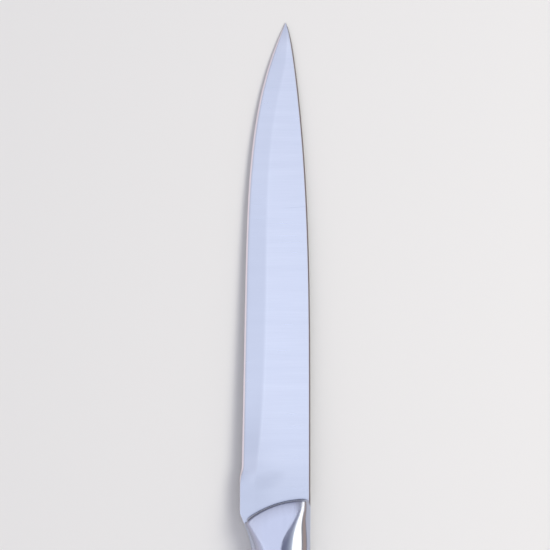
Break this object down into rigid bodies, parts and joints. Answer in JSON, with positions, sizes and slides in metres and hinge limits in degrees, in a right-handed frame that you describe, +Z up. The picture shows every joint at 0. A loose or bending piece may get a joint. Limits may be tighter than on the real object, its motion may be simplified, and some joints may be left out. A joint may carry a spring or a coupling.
{
  "type": "slicing knife",
  "caption": "Long pointed kitchen slicing knife, all stainless steel, with a faceted hollow handle and arc-fronted bolster.",
  "frame": {"origin": "on the table under the middle of the knife's bounding box, the knife lying on its right side", "axes": "+Y along the knife towards the tip, +X towards the spine, +Z up through the left side of the blade"},
  "size_m": [0.03, 0.332, 0.0197],
  "materials": {
    "blade_steel": "satin, fine scratches across the blade",
    "handle_steel": "satin facets, polished back and belly",
    "bedding_resin": "cast epoxy, matt",
    "fill_sand": "packed dry sand",
    "plug_rubber": "matt black"
  },
  "bodies": {
    "root": {"blade": "blade_steel", "bolster": "handle_steel", "left_handle_shell": "handle_steel", "right_handle_shell": "handle_steel", "butt_cap": "handle_steel", "tang_bedding": "bedding_resin", "sand_fill": "fill_sand", "fill_plug": "plug_rubber"}
  },
  "joints": []
}
